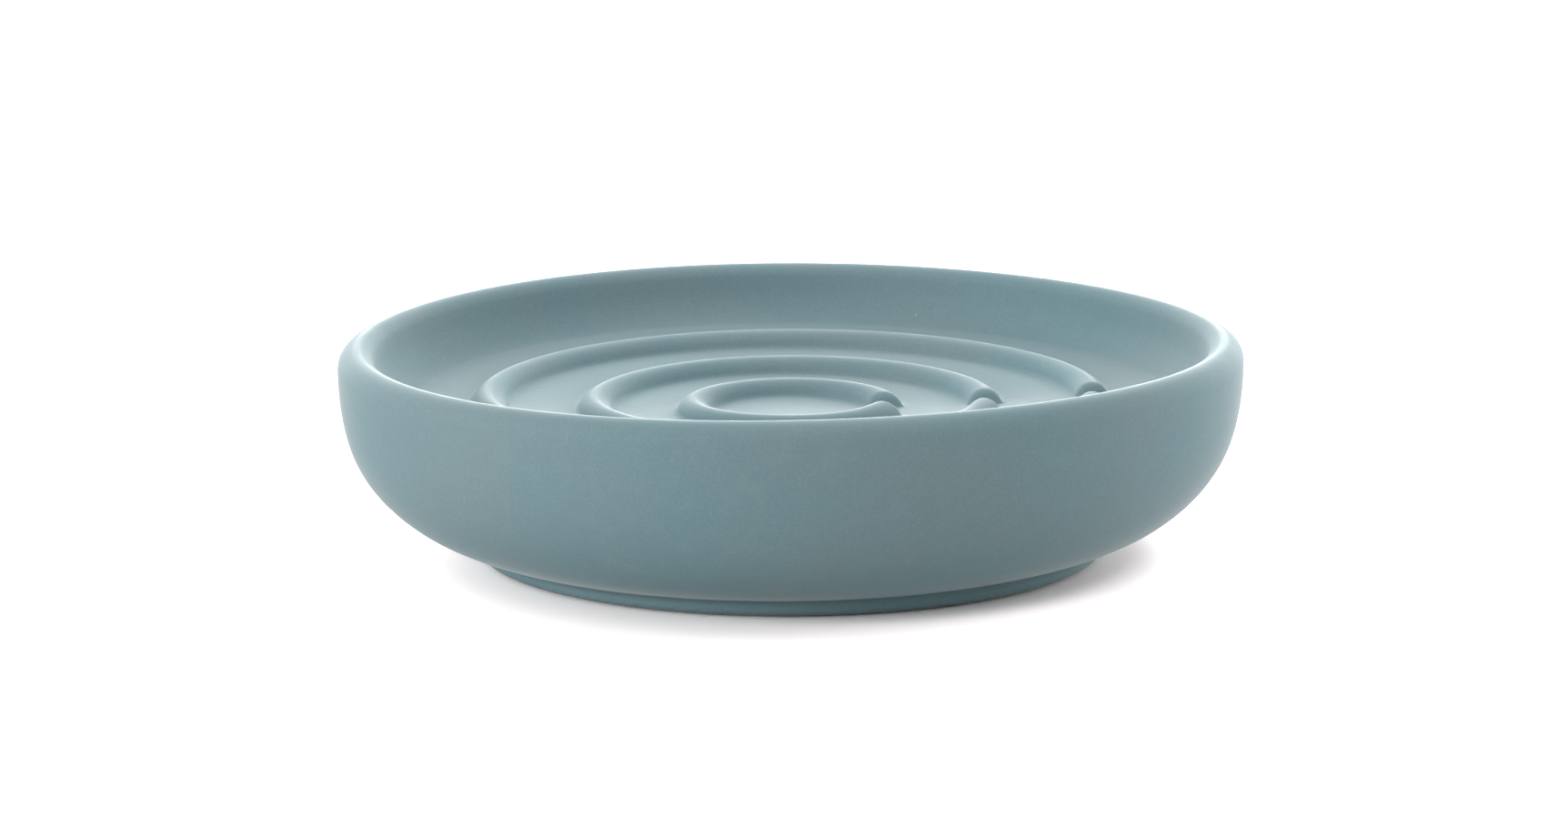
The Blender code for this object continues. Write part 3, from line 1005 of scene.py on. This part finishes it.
roughness = spread(tree, clouds["Small"], *ROUGHNESS_CLOUD_ZONE, *COAT_ROUGHNESS)
roughness = added(tree, dust, DUST_ROUGHER, roughness)
roughness = added(tree, edge_of_spray, CLAY_ROUGHER, roughness)
away_from_view = add(tree, "ShaderNodeLayerWeight", {"Blend": 0.5}).outputs["Facing"]
at_a_glance = spread(tree, away_from_view, *GLANCE_ZONE, 0.0, GLANCE_SMOOTHER)
level = spread(tree, facing_up, *LEVEL_ZONE)
roughness = maths(tree, "SUBTRACT", roughness, maths(tree, "MULTIPLY", at_a_glance, level))
relief = maths(tree, "MULTIPLY", grain["Height"], GRAIN_RELIEF)
relief = added(tree, dust, DUST_RELIEF, relief)
relief = added(tree, clouds["Small"], CLOUD_RELIEF, relief)
feed(tree, shader, {
    "Base Color": colour, "Roughness": roughness, "Normal": relief_normal(tree, relief, COAT_BUMP),
    "IOR": 1.5, "Specular IOR Level": 0.5, "Sheen Weight": 0.35, "Sheen Roughness": 0.25})
dish.data.materials.clear()
dish.data.materials.append(porcelain)
print("roughness", COAT_ROUGHNESS)

# %% [markdown]
# ## The silicone pads
#
# Small die-cut discs are usually a translucent grey silicone. It picks up lint, so it gets
# the dust group at a closer spacing than the coating does.

# %% Silicone
SILICONE_DARK = (0.38, 0.39, 0.39, 1)
SILICONE_PALE = (0.47, 0.48, 0.48, 1)
SILICONE_GRAIN_SIZE = 0.12
SILICONE_CLOUD_SIZE = 4.0
SILICONE_ROUGHNESS = (0.48, 0.62)
SILICONE_RELIEF = 0.006
SILICONE_BUMP = 0.4
LINT = {"Spacing": 0.9, "Size": 0.06, "Share": 0.35}
PAD_SHARP_ANGLE = math.radians(60)

silicone, tree, shader = new_material("soft_silicone")
place = millimetres(tree)
grain = placed_group(tree, grain_group, {"Place": place, "Size": SILICONE_GRAIN_SIZE})
clouds = placed_group(tree, cloud_group, {"Place": place, "Size": SILICONE_CLOUD_SIZE})
lint = placed_group(tree, dust_group, {"Place": place, **LINT})["Mask"]
colour = blended(tree, clouds["Broad"], SILICONE_DARK, SILICONE_PALE)
relief = maths(tree, "MULTIPLY", grain["Height"], SILICONE_RELIEF)
feed(tree, shader, {
    "Base Color": blended(tree, lint, colour, DUST),
    "Roughness": spread(tree, clouds["Small"], *ROUGHNESS_CLOUD_ZONE, *SILICONE_ROUGHNESS),
    "Normal": relief_normal(tree, relief, SILICONE_BUMP),
    "IOR": 1.41, "Subsurface Weight": 0.15, "Subsurface Scale": 0.0008})
for pad in pads:
    pad.data.materials.append(silicone)
    pad.data.set_sharp_from_angle(angle=PAD_SHARP_ANGLE)
print("silicone on", len(pads), "pads")

# %% [markdown]
# ## The table
#
# The photo was taken on a white sweep. It is white all over, except for a shadow that is
# dark only within a few millimetres of the foot. So the floor has a plain grey for the light
# that it sends to the dish, and a brighter one for the camera. The brighter one is at its
# highest round the foot, which keeps the shadow as short as the photo has it. It is centred
# a little to the right, where the shadow reaches further, and it is slightly pink, because
# the dish throws teal light into the shadow and the photo's shadow is neutral.

# %% Floor
FLOOR_SIZE = 3.0
FLOOR_GREY = (0.70, 0.70, 0.70, 1)
SHADOW_CENTRE = (4.0, 1.5, 0.0)
SHADOW_TINT = (1.10, 1.0, 0.985)
FOOT_ZONE = (40.0, 48.0)
WIDE_ZONE = (46.0, 95.0)
LEVEL_UNDER_FOOT = 1.1
LEVEL_ROUND_FOOT = 2.0
LEVEL_DROP_FAR_OUT = 1.0

corners = np.array([(-1, -1, 0), (1, -1, 0), (1, 1, 0), (-1, 1, 0)]) * FLOOR_SIZE / 2
floor_mesh = bpy.data.meshes.new("white_sweep")
floor_mesh.from_pydata(corners.tolist(), [], [(0, 1, 2, 3)])
floor = placed("white_sweep", floor_mesh)
sweep, tree, shader = new_material("white_sweep", "ShaderNodeBsdfDiffuse")
offset = add(tree, "ShaderNodeVectorMath", {0: millimetres(tree), 1: SHADOW_CENTRE}, operation="DISTANCE")
from_centre = offset.outputs["Value"]
rising = spread(tree, from_centre, *FOOT_ZONE, LEVEL_UNDER_FOOT, LEVEL_ROUND_FOOT)
falling = spread(tree, from_centre, *WIDE_ZONE, 0.0, LEVEL_DROP_FAR_OUT)
lifted = maths(tree, "SUBTRACT", rising, falling)
tinted = {socket: maths(tree, "MULTIPLY", lifted, share) for socket, share in enumerate(SHADOW_TINT)}
shown = add(tree, "ShaderNodeCombineColor", tinted).outputs[0]
feed(tree, shader, {"Color": blended(tree, seen_ray(tree), FLOOR_GREY, shown)})
floor_mesh.materials.append(sweep)
print("floor of", FLOOR_SIZE, "m")

# %% [markdown]
# ## The tent
#
# The sweep stands in a bright tent, which lights the dish a little from everywhere and shows
# as white behind it.

# %% World
TENT_LIGHT = 0.31
TENT_SEEN = 1.08

world = bpy.data.worlds.new("tent")
bpy.context.scene.world = world
world.use_nodes = True
tree = world.node_tree
tree.nodes.clear()
inputs = {0: seen_ray(tree), 1: 0.0, 2: 1.0, 3: TENT_LIGHT, 4: TENT_SEEN}
strength = add(tree, "ShaderNodeMapRange", inputs).outputs[0]
background = add(tree, "ShaderNodeBackground", {"Color": (1, 1, 1, 1), "Strength": strength})
add(tree, "ShaderNodeOutputWorld", {"Surface": background.outputs[0]})
print("tent of", TENT_LIGHT, "seen as", TENT_SEEN)

# %% [markdown]
# ## The lamps
#
# Strong light comes low from behind the dish, where the sweep is lit, and more from the
# left and the right. Wide, soft lamps stand where those bright areas are, and all of them
# face the dish. A lamp's power is in proportion to its area, so that its brightness can be
# set by itself.

# %% Lamps
LAMP_AIM = Vector((0, 0, 0.015))
LAMPS = (
    # Name, place, width, height and brightness.
    ("bright_sweep_behind", (0, 1.1, 0.22), 2.0, 0.4, 5.5),
    ("sweep_above_it", (0, 1.1, 0.60), 2.0, 0.4, 1.8),
    ("roof_behind", (0, 0.7, 0.8), 1.0, 1.0, 1.65),
    ("roof_above", (0, 0.1, 1.1), 1.0, 1.0, 0.5),
    ("window_on_the_left", (-1.0, -0.8, 0.35), 1.0, 0.5, 7.2),
    ("panel_on_the_left", (-0.8, -0.1, 0.8), 0.8, 0.8, 1.5),
    ("panel_on_the_right", (1.1, 0.1, 0.45), 0.8, 0.8, 3.9),
    ("sweep_on_the_right", (0.8, 0.9, 0.2), 1.0, 0.4, 2.7),
)


def soft_lamp(name, place, width, height, brightness):
    """A rectangular area lamp that faces the dish, with power = brightness * pi * area."""
    data = bpy.data.lights.new(name, "AREA")
    data.shape = "RECTANGLE"
    data.size, data.size_y = width, height
    data.energy = brightness * math.pi * width * height
    lamp = placed(name, data)
    lamp.visible_camera = False
    direction = LAMP_AIM - Vector(place)
    lamp.matrix_world = Matrix.Translation(place) @ direction.to_track_quat("-Z", "Y").to_matrix().to_4x4()


for lamp in LAMPS:
    soft_lamp(*lamp)
bpy.context.scene.view_settings.view_transform = "Standard"
print("lamps:", [name for name, *_ in LAMPS])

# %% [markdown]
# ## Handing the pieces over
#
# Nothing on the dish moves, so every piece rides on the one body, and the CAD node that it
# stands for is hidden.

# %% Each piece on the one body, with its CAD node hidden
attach(dish, "root")
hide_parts("dish_body")
for name, pad in zip(pad_names, pads):
    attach(pad, "root")
    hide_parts(name)

scene_points = np.concatenate([mesh_points(piece.data) for piece in [dish, *pads]])
